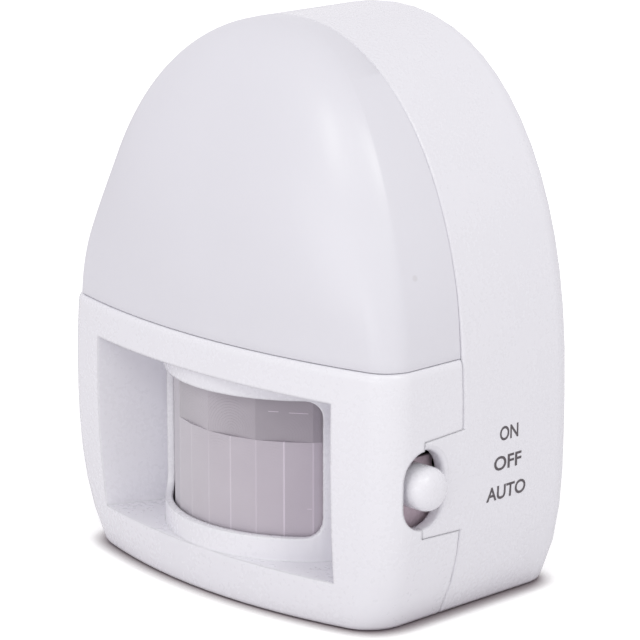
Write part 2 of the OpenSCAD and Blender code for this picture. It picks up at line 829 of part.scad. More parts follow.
// Window in the drum with rounded corners, swept round the drum axis in upright sections
module window_cut() {
    turn = window_r / drum_r * 180 / PI;
    half = window_angle / 2;
    right = concat(
        [for (k = [0 : face_steps - 1]) [(half - turn) * k / face_steps, 0]],
        [for (k = [0 : corner_steps])
            let (a = 90 * k / corner_steps)
            [half - turn * (1 - sin(a)), window_r * (1 - cos(a))]]
    );
    last = len(right) - 1;
    columns = concat([for (k = [last : -1 : 1]) [-right[k][0], right[k][1]]], right);
    ring_solid([
        for (c = columns)
            [for (e = [[2, 0], [-4, 0], [-4, 1], [2, 1]])
                let (z = e[1] == 0 ? window_z + c[1] : window_z + window_h - c[1])
                [each round_drum(drum_r + e[0], c[0]), z]]
    ]);
}

module front_housing() {
    color(WHITE)
    from_seam()
    translate([0, -seam_gap, 0])
    difference() {
        union() {
            housing_skin();
            linear_extrude(wall)
                polygon(housing_plan(base_edge_r, wall / 2));
            recess_block();
            translate([0, 0, recess_floor])
                linear_extrude(recess_top - recess_floor)
                    drum_circle(drum_r);
            diffuser_lip();
            for (s = [-1, 1], p = [low_screw, high_screw])
                rod(s * p[0], p[1], boss_r, -boss_start, 0);
        }
        recess_cut();
        translate([0, drum_back, chamber_z0])
            cylinder(r = drum_r - drum_wall, h = chamber_z1 - chamber_z0, $fn = 96);
        window_cut();
        for (s = [-1, 1], p = [low_screw, high_screw])
            rod(s * p[0], p[1], shank_r + pilot_gap, screw_seat_y - case_screw_l - pilot_spare, 1);
        slot_cut(switch_in_x - 3);
        tab_prism(switch_in_x - 3, switch_out_x + 2, tab_gap);
    }
}
// Lip that stands up behind the foot of the diffuser, from corner to corner
module diffuser_lip() {
    outer = diffuser_step + diffuser_wall + lip_gap;
    n = len(housing_plan(split_z, outer));
    front = [for (k = [2 : n - 3]) k];
    translate([0, 0, split_z - 1.5])
        linear_extrude(1.5 + lip_h)
            polygon(concat(
                [for (k = front) housing_plan(split_z, outer)[k]],
                [for (k = front) housing_plan(split_z, outer + lip_t)[n - 1 - k]]
            ));
}

module diffuser() {
    color(OPAL)
    from_seam()
    translate([0, -seam_gap, 0.1]) {
        inner = diffuser_step + diffuser_wall;
        domed_skin(
            [for (k = [0 : dome_steps - 1]) dome_row(k, diffuser_step, seam_bevel)],
            [for (k = [0 : dome_steps - 1]) dome_row(k, inner)],
            [0, 0, body_h - diffuser_step],
            [0, 0, body_h - inner]
        );
    }
}

// Sensor window

// Row of flat facets bent round the drum axis
module facet_row(angles, z0, z1) {
    translate([0, 0, z0])
        linear_extrude(z1 - z0)
            polygon(concat(
                [for (a = angles) round_drum(lens_r, a)],
                [for (k = [len(angles) - 1 : -1 : 0]) round_drum(lens_r - lens_t, angles[k])]
            ));
}
module fresnel_lens() {
    color(MILKY, 0.6)
    from_seam() {
        facet_row([for (k = [0 : lens_facets]) k * facet_angle - lens_half],
            chamber_z0 + lens_margin, lens_row_z);
        facet_row([-1, -0.8, -0.4, 0, 0.4, 0.8, 1] * lens_half, lens_row_z, chamber_z1 - lens_margin);
    }
}

module lens_frame() {
    // It stays inside the widest facets of the upper row
    outer = (lens_r - lens_t) * cos(0.2 * lens_half) - 0.2;
    color(BLACK)
    from_seam()
    difference() {
        sector(outer - lens_frame_t, outer, chamber_z0 + lens_margin, chamber_z1 - lens_margin, 2 * lens_half);
        sector(outer - 2 * lens_frame_t, outer + 1, window_z + 1, window_z + window_h - 1, window_angle - 4);
    }
}

// Boards

module board_holes(places) {
    for (p = places)
        rod(p[0], p[1], board_screw_r + 0.25, board_y0 - 1, board_y1 + 1);
}

module main_board() {
    color(BOARD_GREEN)
    from_seam()
    difference() {
        slab(board_y0, board_y1) {
            translate([-board_half, board_z0])
                square([2 * board_half, board_z1 - board_z0]);
            translate([0, switch_z - switch_board_h / 2 - 1])
                square([switch_board_x + 2.2, switch_board_h + 2]);
        }
        board_holes(main_screws);
        for (p = sensor_pins)
            rod(p[0], p[1], pin_r + 0.1, board_y0 - 1, board_y1 + 1);
    }
}

module pir_sensor() {
    color(TIN)
    from_seam() {
        difference() {
            union() {
                rod(0, sensor_z, can_r + 0.5, board_y0 - 0.5, board_y0);
                rod(0, sensor_z, can_r, board_y0 - can_h, board_y0 - 0.4);
            }
            slab(board_y0 - can_h - 1, board_y0 - can_h + 0.7)
                translate([-2.2, sensor_z - 1.7])
                    square([4.4, 3.4]);
        }
        for (p = sensor_pins)
            rod(p[0], p[1], pin_r, board_y0 - 0.2, board_y1 + 0.8);
    }
}
module pir_filter() {
    color(BLACK)
    from_seam()
    slab(board_y0 - can_h + 0.1, board_y0 - can_h + 0.7)
        translate([-2.15, sensor_z - 1.65])
            square([4.3, 3.3]);
}

module light_sensor() {
    color([0.75, 0.42, 0.2])
    from_seam()
    rod(drum_r / 2 - 0.5, recess_top - 4.5, light_sensor_r, board_y0 - 2, board_y0);
}

module control_chip() {
    leg_w = 0.4;
    leg_l = 1.2;
    leg_h = 0.7;
    chip_h = 1.45;
    color(BLACK)
    from_seam()
    translate([-0.65 * drum_r, board_y0, chamber_z0 + chip_w / 2 + leg_l + 1.3]) {
        translate([-chip_l / 2, -chip_h - 0.15, -chip_w / 2])
            cube([chip_l, chip_h, chip_w]);
        for (k = [-3.5 : 3.5], s = [-1, 1])
            translate([chip_pitch * k - leg_w / 2, -leg_h, s * (chip_w / 2 + leg_l / 3) - leg_l / 2])
                cube([leg_w, leg_h, leg_l]);
    }
}

module capacitors() {
    color(BLACK)
    from_seam()
    for (z = [-1.5, 1.9] * capacitor_r)
        rod(-0.65 * drum_r, sensor_z + z, capacitor_r, board_y0 - capacitor_h, board_y0);
}

module resistors() {
    resistor_w = 1.25;
    resistor_t = 0.6;
    color(BLACK)
    from_seam()
    for (k = [0 : 3], z = [0, 3.5])
        translate([0.35 * drum_r + 1.8 * resistor_l * k, board_y0 - resistor_t, chamber_z0 + 2.5 + z])
            cube([resistor_l, resistor_t, resistor_w]);
}

module transistor() {
    leg_w = 0.7;
    color(BLACK)
    from_seam()
    translate([0.55 * drum_r, board_y0 - 1.6, sensor_z - 5]) {
        cube([6.5, 1.6, 3.5]);
        for (k = [0 : 2])
            translate([0.6 + 2.3 * k, 1, -1.6])
                cube([leg_w, 0.6, 1.7]);
    }
}

// Arch that stands above the front housing, as a 2D shape
module lamp_outline(inset, z0, z1) {
    intersection() {
        polygon(arch(inset, wall));
        translate([-body_w / 2, z0])
            square([body_w, z1 - z0]);
    }
}

module led_board() {
    color([0.9, 0.9, 0.88])
    from_seam()
    difference() {
        slab(board_y0, board_y1)
            lamp_outline(lamp_inset, lamp_z0, lamp_z1);
        board_holes(led_screws);
    }
}

module leds() {
    color([0.95, 0.85, 0.45])
    from_seam()
    for (x = [-1, 0, 1] * led_pitch, z = led_rows)
        difference() {
            slab(board_y0 - led_t, board_y0)
                translate([x - led_side / 2, z - led_side / 2])
                    square(led_side);
            rod(x, z, led_side * 0.4, board_y0 - led_t - 1, board_y0 - led_t + 0.4);
        }
}

module reflector() {
    color(WHITE)
    from_seam()
    difference() {
        slab(board_y0 - 0.8, board_y0)
            lamp_outline(lamp_inset + 0.4, lamp_z0 + 4, lamp_z1 - 0.4);
        for (x = [-1, 0, 1] * led_pitch, z = led_rows)
            slab(board_y0 - 2, board_y0 + 1)
                translate([x - led_side / 2 - 0.3, z - led_side / 2 - 0.3])
                    square(led_side + 0.6);
        for (p = led_screws)
            rod(p[0], p[1], 2.6, board_y0 - 2, board_y0 + 1);
    }
}

module board_link() {
    pin_w = 0.64;
    link_x = 12;
    color(TIN)
    from_seam() {
        for (k = [0 : 3])
            translate([link_x + link_pitch * k, board_y0 - pin_w, board_z1 - 3])
                cube([pin_w, pin_w, lamp_z0 - board_z1 + 5.5]);
        translate([link_x - 0.8, board_y0 - 2, (board_z1 + lamp_z0) / 2 - 1.2])
            cube([3 * link_pitch + pin_w + 1.6, 2, 2.4]);
    }
}

// Switch

module switch_board() {
    color(BOARD_GREEN)
    from_seam()
    translate([switch_board_x, -switch_fwd - 6, switch_z - switch_board_h / 2])
        cube([switch_board_t, board_y0 + switch_fwd + 6, switch_board_h]);
}

module slide_switch_body() {
    color(BLACK)
    from_seam()
    translate([0, -switch_fwd, switch_z])
        difference() {
            translate([slide_x, -slide_body_w / 2, -slide_body_l / 2])
                cube([slide_body_h, slide_body_w, slide_body_l]);
            translate([slide_x + 1, -lever_w / 2 - 0.1, -lever_w / 2 - knob_travel - 0.2])
                cube([slide_body_h, lever_w + 0.2, lever_w + 2 * knob_travel + 0.4]);
        }
}

module slide_switch_lever() {
    lever_x = slide_x + 1.2;
    color(BLACK)
    from_seam()
    translate([lever_x, -switch_fwd - lever_w / 2, switch_z - lever_w / 2])
        cube([lever_tip_x - lever_x, lever_w, lever_w]);
}

// Domed button that rides in the slot, on a plate that keeps it in and closes the slot below it
module switch_knob() {
    stem_l = switch_out_x - knob_plate_x;
    front = slot_w / 2 + knob_plate_rim;
    color(WHITE)
    from_seam()
    translate([knob_plate_x, -switch_fwd, switch_z])
        difference() {
            union() {
                // The plate is bevelled where it runs past the front corner of the housing
                translate([0, 0, -knob_plate_drop])
                    linear_extrude(knob_plate_drop + knob_r + knob_plate_rim)
                        polygon([[0, -front], [knob_plate_t, knob_plate_bevel - front],
                            [knob_plate_t, knob_plate_back], [0, knob_plate_back]]);
                rotate([0, 90, 0])
                    rotate_extrude()
                        polygon(concat(
                            [[0, knob_plate_t / 2], [knob_r, knob_plate_t / 2]],
                            [for (k = [0 : knob_steps])
                                let (a = 90 * k / knob_steps)
                                [knob_r * pow(cos(a), 2 / knob_swell),
                                    stem_l + knob_dome * pow(sin(a), 2 / knob_swell)]]
                        ));
            }
            translate([-1, -lever_w / 2 - lever_gap, -lever_w / 2 - lever_gap])
                cube([lever_tip_x - knob_plate_x + 1.1, lever_w + 2 * lever_gap, lever_w + 2 * lever_gap]);
        }
}

// Battery compartment

module battery_door() {
    z0 = opening_z0 + 0.45;
    z1 = opening_z1 - door_gap;
    half = opening_w / 2 - door_gap;
    grip_z = z1 - 10;
    color(WHITE)
    from_seam() {
        difference() {
            slab(door_in, rear_d)
                rounded_rect(-half, half, z0, z1, door_corner_r - door_gap);
            // Slits on both sides of the springy latch finger
            for (s = [-1, 1])
                slab(door_in - 1, rear_d + 1)
                    translate([s * 9 - 0.5, z1 - 13])
                        square([1, 14]);
            slab(rear_d - 0.6, rear_d + 1)
                rounded_rect(-7, 7, grip_z, grip_z + 6.6, 1);
        }
        for (k = [0 : 2])
            slab(rear_d - 0.7, rear_d)
                translate([-5.5, grip_z + 1 + 2 * k])
                    square([11, 0.7]);
        for (s = [-1, 1]) {
            translate([s * lug_mid - lug_l / 2, door_in, hinge_z])
                cube([lug_l, 1, z0 - hinge_z + 0.5]);
            translate([s * lug_x0, hinge_y, hinge_z])
                rotate([0, s * 90, 0]) {
                    cylinder(r = lug_r, h = lug_l);
                    cylinder(r = hinge_pin_r, h = lug_l + pin_l);
                }
        }
    }
}

// A cell that stands on z0 with its nub up or down
module cell(x, up) {
    z0 = up ? tray_z + contact_t + spring_l : tray_z + 2 * contact_t;
    from_seam()
    translate([x, cell_y, up ? z0 : z0 + cell_l])
        rotate([up ? 0 : 180, 0, 0]) {
            cylinder(d = cell_d, h = cell_l - nub_h);
            cylinder(r = nub_r, h = cell_l);
        }
}
module cell_left() {
    color([0.25, 0.35, 0.5]) cell(-cell_pitch, true);
}
module cell_middle() {
    color([0.25, 0.35, 0.5]) cell(0, false);
}
module cell_right() {
    color([0.25, 0.35, 0.5]) cell(cell_pitch, true);
}

// Plate against one end of the tray, with a boss where it meets a nub
module contact_plate(x0, x1, top, nub_x) {
    z = top ? tray_top - contact_t : tray_z;
    translate([x0, cell_y - plate_d / 2, z])
        cube([x1 - x0, plate_d, contact_t]);
    if (nub_x != undef)
        translate([nub_x, cell_y, top ? z - contact_t : z + contact_t - eps])
            cylinder(r = nub_r, h = contact_t + eps);
}
module contact_tail(x, z) {
    translate([x - tail_w / 2, tray_y - tray_wall - 0.6, z])
        cube([tail_w, cell_y - plate_d / 2 - tray_y + tray_wall + 1, contact_t]);
}
module contact_positive() {
    color(TIN)
    from_seam() {
        contact_plate(-cell_pitch - plate_w / 2, -cell_pitch + plate_w / 2, true, -cell_pitch);
        contact_tail(-tail_x, tray_top - contact_t);
    }
}
module contact_negative() {
    color(TIN)
    from_seam() {
        contact_plate(cell_pitch - plate_w / 2, cell_pitch + plate_w / 2, false, undef);
        contact_tail(tail_x, tray_z);
    }
}
module contact_bridge_top() {
    color(TIN)
    from_seam()
    contact_plate(-plate_w / 2, cell_pitch + plate_w / 2, true, cell_pitch);
}
module contact_bridge_bottom() {
    color(TIN)
    from_seam()
    contact_plate(-cell_pitch - plate_w / 2, plate_w / 2, false, 0);
}

// Path of a spring that narrows from its plate to the cell
function spring_path(x, z, rise) = [
    for (k = [0 : spring_turns * 8])
        let (
            f = k / (spring_turns * 8),
            a = 45 * k,
            r = spring_base_r + (spring_tip_r - spring_base_r) * f,
            h = spring_wire_r + (spring_l - 2 * spring_wire_r) * min(1, max(0, f * 1.3 - 0.15))
        )
        [x + r * cos(a), cell_y + r * sin(a), z + rise * h]
];
module battery_springs() {
    color(STEEL)
    from_seam() {
        tube(spring_path(-cell_pitch, tray_z + contact_t, 1), spring_wire_r, [0, 0, 1]);
        tube(spring_path(cell_pitch, tray_z + contact_t, 1), spring_wire_r, [0, 0, 1]);
        tube(spring_path(0, tray_top - contact_t, -1), spring_wire_r, [0, 0, 1]);
    }
}

// Leads from the solder tails to the back of the main board
module battery_leads() {
    y = tray_y - tray_wall - 1.2;
    near = board_y1 + lead_r;
    color([0.7, 0.1, 0.1])
    from_seam() {
        tube([
            [-tail_x, y, tray_top - contact_t - 0.1],
            [-tail_x, y, board_z1 + 6],
            [-tail_x, (y + near) / 2, board_z1 + 1],
            [-tail_x, near, board_z1 - 3],
            [-tail_x, near, board_z1 - 5]
        ], lead_r, [1, 0, 0], 8);
        tube([
            [tail_x, y, tray_z + contact_t + 0.1],
            [tail_x, y, tray_z + 3],
            [tail_x, (y + near) / 2, tray_z + 5],
            [tail_x, near, tray_z + 7],
            [tail_x, near, tray_z + 9]
        ], lead_r, [1, 0, 0], 8);
    }
}

// Screws

// Pan head screw that points to the front from its seat, or to the back
module screw(p, seat, length, r, forward) {
    s = forward ? -1 : 1;
    head_r = r + 1.1;
    head_h = 0.6 * head_r;
    rod(p[0], p[1], r, min(seat, seat + s * length), max(seat, seat + s * length));
    rod(p[0], p[1], head_r, min(seat, seat - s * head_h), max(seat, seat - s * head_h));
}
module case_screws() {
    color(STEEL)
    from_seam()
    for (s = [-1, 1], p = [low_screw, high_screw])
        screw([s * p[0], p[1]], screw_seat_y, case_screw_l, shank_r, true);
}
module main_board_screws() {
    color(STEEL)
    from_seam()
    for (p = main_screws)
        screw(p, board_y0, board_screw_l, board_screw_r, false);
}
module led_board_screws() {
    color(STEEL)
    from_seam()
    for (p = led_screws)
        screw(p, board_y0, board_screw_l, board_screw_r, false);
}

rear_case();
front_housing();
diffuser();
fresnel_lens();
lens_frame();
main_board();
pir_sensor();
pir_filter();
light_sensor();
control_chip();
capacitors();
resistors();
transistor();
led_board();
leds();
reflector();
board_link();
switch_board();
slide_switch_body();
slide_switch_lever();
switch_knob();
battery_door();
cell_left();
cell_middle();
cell_right();
contact_positive();
contact_negative();
contact_bridge_top();
contact_bridge_bottom();
battery_springs();
battery_leads();
case_screws();
main_board_screws();
led_board_screws();
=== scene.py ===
"""Looks of the battery night light: finishes, opal dome, faceted lens, button and switch lettering."""

import math

import bmesh
import bpy
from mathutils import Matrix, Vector


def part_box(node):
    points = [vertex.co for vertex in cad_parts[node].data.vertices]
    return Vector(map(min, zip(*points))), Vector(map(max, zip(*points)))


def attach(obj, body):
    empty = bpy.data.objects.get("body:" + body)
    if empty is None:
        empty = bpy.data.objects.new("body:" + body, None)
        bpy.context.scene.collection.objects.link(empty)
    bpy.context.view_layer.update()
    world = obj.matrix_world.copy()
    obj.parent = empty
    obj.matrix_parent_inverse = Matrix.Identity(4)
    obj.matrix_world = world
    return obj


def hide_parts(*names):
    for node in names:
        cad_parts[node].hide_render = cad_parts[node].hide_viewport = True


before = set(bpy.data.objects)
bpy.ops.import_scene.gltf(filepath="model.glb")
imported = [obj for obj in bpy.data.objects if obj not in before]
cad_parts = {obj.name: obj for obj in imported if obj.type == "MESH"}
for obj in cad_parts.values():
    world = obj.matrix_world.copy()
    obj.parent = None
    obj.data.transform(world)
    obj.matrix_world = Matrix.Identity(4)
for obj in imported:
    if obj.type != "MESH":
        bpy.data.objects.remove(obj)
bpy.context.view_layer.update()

MM = 0.001
SEAM = -2.4  # y of the parting plane between the front pieces and the rear case, in mm


# Shader sums

class Value:
    """An output of a shader node that can be used in sums and products."""

    def __init__(self, nodes, socket):
        self.nodes = nodes
        self.socket = socket

    def math(self, operation, *others):
        inputs = dict(enumerate((self, *others)))
        return self.nodes.node("ShaderNodeMath", {"operation": operation}, inputs)

    def __add__(self, other):
        return self.math("ADD", other)

    def __sub__(self, other):
        return self.math("SUBTRACT", other)

    def __rsub__(self, other):
        return self.nodes.node("ShaderNodeMath", {"operation": "SUBTRACT"}, {0: other, 1: self})

    def __mul__(self, other):
        return self.math("MULTIPLY", other)

    __radd__ = __add__
    __rmul__ = __mul__

    def above(self, edge, soft):
        """0 below edge, 1 above edge + soft, smooth in between."""
        settings = {"interpolation_type": "SMOOTHSTEP"}
        return self.nodes.node("ShaderNodeMapRange", settings, {0: self, 1: edge, 2: edge + soft})


class Nodes:
    """A node tree that is filled by one method."""

    def __init__(self, tree):
        self.tree = tree
        tree.nodes.clear()

    def put(self, socket, value):
        if isinstance(value, Value):
            self.tree.links.new(value.socket, socket)
        elif socket.type == "RGBA" and len(value) == 3:
            socket.default_value = (*value, 1)
        else:
            socket.default_value = value

    def node(self, kind, settings=None, inputs=None, output=0):
        made = self.tree.nodes.new(kind)
        for name, value in (settings or {}).items():
            setattr(made, name, value)
        for name, value in (inputs or {}).items():
            if value is not None:
                self.put(made.inputs[name], value)
        return Value(self, made.outputs[output] if made.outputs else None)

    def blend(self, amount, a, b):
        """Colour a where amount is 0, colour b where it is 1."""
        return self.node("ShaderNodeMix", {"data_type": "RGBA"}, {0: amount, 6: a, 7: b}, 2)


class Finish(Nodes):
    """A material on one surface shader."""

    def __init__(self, name, **surface):
        self.material = bpy.data.materials.new(name)
        self.material.use_nodes = True
        super().__init__(self.material.node_tree)
        self.surface = self.tree.nodes.new("ShaderNodeBsdfPrincipled")
        self.node("ShaderNodeOutputMaterial", None, {0: Value(self, self.surface.outputs[0])})
        self.place = self.node("ShaderNodeTexCoord", output="Object")
        for socket, value in surface.items():
            self.set(socket.replace("_", " "), value)

    def set(self, socket, value):
        self.put(self.surface.inputs[socket], value)

    def colour_so_far(self):
        return Value(self, self.surface.inputs["Base Color"].links[0].from_socket)

    def noise(self, size, detail=2.0, offset=(0, 0, 0), stretch=(1, 1, 1)):
        """Noise with features of that size in mm, round 0.5."""
        scale = tuple(s / (size * MM) for s in stretch)
        where = self.node("ShaderNodeMapping", {"vector_type": "POINT"},
                          {"Vector": self.place, "Location": offset, "Scale": scale})
        return self.node("ShaderNodeTexNoise", None, {"Vector": where, "Scale": 1.0, "Detail": detail})

    def axis(self, name):
        """Object coordinate in mm."""
        split = self.node("ShaderNodeSeparateXYZ", None, {0: self.place}, "XYZ".index(name))
        return split * 1000.0

    def bump(self, height, depth, rounded=0.0):
        """Surface relief of depth mm, over edges that look rounded by that many mm."""
        edges = self.node("ShaderNodeBevel", {"samples": 8}, {"Radius": rounded * MM}) if rounded else None
        self.set("Normal", self.node("ShaderNodeBump", None, {
            "Strength": 1.0, "Distance": depth * MM, "Height": height, "Normal": edges}))

    def spot(self, x, y, z, radius):
        """1 inside half the radius round that place in mm, fading to 0 just outside the radius."""
        here = self.node("ShaderNodeVectorMath", {"operation": "DISTANCE"},
                         {0: self.place, 1: (x * MM, y * MM, z * MM)}, "Value")
        return 1.0 - here.above(radius * MM * 0.5, radius * MM * 0.7)

    def fleck(self, spot, colour):
        """Lays a colour over the one so far, as strong as the spot."""
        self.set("Base Color", self.blend(spot, self.colour_so_far(), colour))


def tint(colour, factor):
    return tuple(min(1, c * factor) for c in colour)


# Finishes

WHITE = (0.772, 0.760, 0.812)
OPAL = (0.690, 0.678, 0.735)
PLATE_PAINTED_SHADE = (0.60, 0.49, 0.55)  # painted shade on the plate behind the slot, which lies in shadow there
FACET_MAP = 100.0  # mm that one unit of the lens's facet map stands for


def moulded(name, colour, roughness, grain=0.004, rounded=0.0, worn=0.06, **surface):
    """Injection moulded plastic: faint clouding, orange peel grain mm deep, scuffs rougher by worn."""
    f = Finish(name, **surface)
    clouds = f.noise(14, detail=3)
    fine = f.noise(0.9, detail=4, offset=(0.3, 0.1, 0.7))
    peel = f.noise(0.45, offset=(2.0, 1.0, 0.5))
    scuffs = f.noise(5, detail=6, offset=(5.0, 3.0, 1.0), stretch=(1, 4, 1)).above(0.62, 0.16)
    f.set("Base Color", f.blend(clouds * 0.7 + fine * 0.3, tint(colour, 0.975), tint(colour, 1.02)))
    f.set("Roughness", roughness - 0.04 + clouds * 0.05 + fine * 0.04 + scuffs * worn)
    f.bump(peel * 0.7 + fine * 0.3, grain, rounded)
    return f


def case_white(name, rounded=0.7):
    return moulded(name, WHITE, 0.27, rounded=rounded, IOR=1.5)


def button_white():
    """White above the side of the case, with painted shade in pinkish grey down on the plate behind the slot,
    where it lies in shadow.
    """
    f = case_white("button_white", 0)
    # painted shade: pinkish grey on the plate and up to 2 mm above its face
    painted_shade = 1.0 - f.axis("X").above(PLATE_X + PLATE_T, 2.0)
    f.fleck(painted_shade, PLATE_PAINTED_SHADE)
    return f


def opal_dome():
    """Opal plastic without scuffs, with one faint fleck low on the right side."""
    f = moulded("opal_dome", OPAL, 0.31, worn=0.0, IOR=1.5)
    f.fleck(f.spot(38.5, -8.7 + SEAM, 61.6, radius=0.6) * 0.25, (0.45, 0.42, 0.42))
    return f


def lens_milk():
    """Milky sheet with fine round grooves about the middle of each facet, clearest on one of them."""
    f = Finish("lens_milk", IOR=1.5)
    grooves_per_mm = 2.0
    facet = f.node("ShaderNodeUVMap", {"uv_map": "facet"})
    away = f.node("ShaderNodeVectorMath", {"operation": "LENGTH"}, {0: facet}, "Value") * FACET_MAP
    groove = (away * grooves_per_mm).math("FRACT") * (0.25 + f.spot(2.5, -20.5 + SEAM, 32.5, radius=5.5))
    # colour layer shade: painted shade on the facets, painted highlights on the ridges, and the pale lines
    shade = f.node("ShaderNodeVertexColor", {"layer_name": "shade"})
    clouds = f.noise(6, detail=3)
    tone = f.blend(clouds, (0.505, 0.478, 0.517), (0.540, 0.516, 0.553))
    f.set("Base Color", f.node("ShaderNodeMix", {"data_type": "RGBA", "blend_type": "MULTIPLY"},
                               {0: 1.0, 6: tone, 7: shade}, 2))
    f.set("Roughness", 0.36 + clouds * 0.06)
    f.bump(groove + f.noise(1.2) * 0.15, 0.03)
    return f


def dark_moulded(name, colour=(0.018, 0.018, 0.020), roughness=0.42):
    return moulded(name, colour, roughness, grain=0.01)


def laminate(name, mask_colour, track_colour):
    """Circuit board: lacquer over copper tracks."""
    f = Finish(name, IOR=1.5)
    weave = f.noise(0.8, stretch=(1, 1, 3))
    flat = f.node("ShaderNodeMapping", None, {
        "Vector": f.place, "Rotation": (math.pi / 2, 0, 0), "Scale": (260, 260, 260)})
    lanes = f.node("ShaderNodeTexBrick", {"offset": 0.37, "squash": 1.6}, {
        "Vector": flat, "Color1": (0, 0, 0), "Color2": (0, 0, 0), "Mortar": (1, 1, 1), "Scale": 1.0,
        "Mortar Size": 0.05, "Brick Width": 1.1, "Row Height": 0.33}, 1)
    f.set("Base Color", f.blend(lanes, f.blend(weave, tint(mask_colour, 0.9), mask_colour), track_colour))
    f.set("Roughness", 0.25 + weave * 0.12)
    f.bump(lanes, 0.03)
    return f


def metal(name, colour, roughness):
    f = Finish(name, Metallic=1.0)
    lines = f.noise(0.35, detail=3)
    haze = f.noise(3, offset=(1, 2, 3))
    f.set("Base Color", f.blend(haze, tint(colour, 0.88), colour))
    f.set("Roughness", roughness + lines * 0.12 + haze * 0.05)
    f.bump(lines, 0.006)
    return f


def cell_sleeve():
    """Plain shrink sleeve over a steel can: bare metal at both ends and round the nub."""
    f = Finish("cell_sleeve", IOR=1.5)
    bare_foot, bare_head, band_h = 0.6, 1.9, 14
    low, high = (corner.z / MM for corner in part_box("cell_left"))
    z = f.axis("Z")
    wrap = z.above(low + bare_foot, 0.1) * (1.0 - z.above(high - bare_head, 0.1))
    band = z.above(high - band_h, 0.05)
    folds = f.noise(2.5, detail=3, stretch=(1, 1, 0.2))
    sleeve = f.blend(folds, (0.03, 0.05, 0.09), f.blend(band, (0.022, 0.045, 0.10), (0.30, 0.17, 0.07)))
    f.set("Base Color", f.blend(wrap, (0.62, 0.62, 0.64), sleeve))
    f.set("Metallic", 1.0 - wrap)
    f.set("Roughness", 0.28 + folds * 0.1)
    f.bump(folds, 0.02)
    return f


def diode_cup():
    """Yellow resin in a white cup."""
    f = Finish("diode_cup", IOR=1.52)
    resin_depth = 0.25
    front = 1.0 - f.axis("Y").above(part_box("leds")[0].y / MM + resin_depth, 0.1)
    grain = f.noise(0.25)
    bowl = f.noise(1.1)
    resin = f.blend(grain, (0.72, 0.50, 0.07), (0.85, 0.62, 0.12))
    f.set("Base Color", f.blend(front, resin, f.blend(bowl, (0.80, 0.80, 0.78), (0.86, 0.86, 0.84))))
    f.set("Roughness", 0.32 + grain * 0.1)
    return f


def lettering_ink():
    f = Finish("lettering_ink")
    patchy = f.noise(0.35, detail=4)
    f.set("Base Color", f.blend(patchy, (0.062, 0.052, 0.062), (0.125, 0.108, 0.12)))
    f.set("Roughness", 0.45 + patchy * 0.15)
    return f


def floor_white():
    """Pale floor: white to the camera, keeping the object's shadow, with a painted shadow added from ambient
    occlusion, darkest right under its edge.
    """
    f = Finish("floor_white", Roughness=0.9)
    shadow_reach = 4.5 * MM
    grain = f.noise(40, detail=3)
    # painted shadow: ambient occlusion darkens the floor's colour and takes away its glow to the camera near
    # the object
    free = f.node("ShaderNodeAmbientOcclusion", {"samples": 12}, {"Distance": shadow_reach}, "AO")
    free = free.above(0.3, 0.65)
    pale = f.blend(grain, (0.88, 0.875, 0.875), (0.90, 0.895, 0.895))
    f.set("Base Color", f.blend(free, (0.30, 0.255, 0.275), pale))
    seen = f.node("ShaderNodeLightPath", output="Is Camera Ray")
    away = f.node("ShaderNodeVectorMath", {"operation": "LENGTH"}, {0: f.place}, "Value").above(0.06, 0.3)
    f.set("Emission Color", f.blend(seen * free, (0, 0, 0), f.blend(away, (0.5, 0.5, 0.5), (1, 1, 1))))
    f.set("Emission Strength", 0.6)
    return f


# Meshes

def make_piece(name, mesh, finish, body, slot, *stands_for):
    piece = bpy.data.objects.new(name, mesh)
    mesh.materials.clear()
    mesh.materials.append(finish.material)
    bpy.context.collection.objects.link(piece)
    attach(piece, body)
    if stands_for:
        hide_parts(*stands_for)


def mesh_of(name, points, faces, sharp=35):
    """Mesh from points in mm from the parting plane, smooth where its faces meet at less than sharp."""
    mesh = bpy.data.meshes.new(name)
    mesh.from_pydata([(x * MM, (y + SEAM) * MM, z * MM) for x, y, z in points], [], faces)
    shell = bmesh.new()
    shell.from_mesh(mesh)
    bmesh.ops.recalc_face_normals(shell, faces=shell.faces)
    shell.to_mesh(mesh)
    shell.free()
    mesh.polygons.foreach_set("use_smooth", [True] * len(mesh.polygons))
    mesh.set_sharp_from_angle(angle=math.radians(sharp))
    return mesh


def loft(rings, start, end):
    """Points and faces of a skin through closed rings, closed on a point at each end."""
    count = len(rings[0])
    points = [p for ring in rings for p in ring]
    faces = []
    for i in range(len(rings) - 1):
        for k in range(count):
            a, b = i * count + k, i * count + (k + 1) % count
            faces.append((a, b, b + count, a + count))
    for tip, first in ((start, 0), (end, (len(rings) - 1) * count)):
        points.append(tip)
        faces += [(first + k, first + (k + 1) % count, len(points) - 1) for k in range(count)]
    return points, faces


# Outline of the body in mm, by the formulas of the solids

WIDEST_Z = 35.5
SPLIT_Z = 46.6  # line between dome and front housing
CROWN_Z = 100.0
HALF_BODY = 41.9
BASE_IN, FOOT_DRAW = 5.6, 3.7  # how far each side draws in down to the base, and the power of that curve
CROWN_RISE, CROWN_SPREAD = 2.29, 2.15  # powers of the arch, up its height and across its width
FRONT_D = 23.4  # depth of the front on the middle line
FRONT_BOW, FRONT_LEAN = 6.1, 2.0  # how far the front bows between its corners, and leans back at the base
UPRIGHT_Z = 32.0  # height where the front doesn't lean
CORNER_R, SMALLEST_CORNER = 5.0, 2.0
SEAM_BEVEL = 0.3
FACE_STEPS, CORNER_STEPS = 26, 12


def half_width(z, inset=0.0):
    if z < WIDEST_Z:
        return HALF_BODY - inset - BASE_IN * ((WIDEST_Z - z) / WIDEST_Z) ** FOOT_DRAW
    rise = (z - WIDEST_Z) / (CROWN_Z - inset - WIDEST_Z)
    return (HALF_BODY - inset) * max(0, 1 - rise ** CROWN_RISE) ** (1 / CROWN_SPREAD)


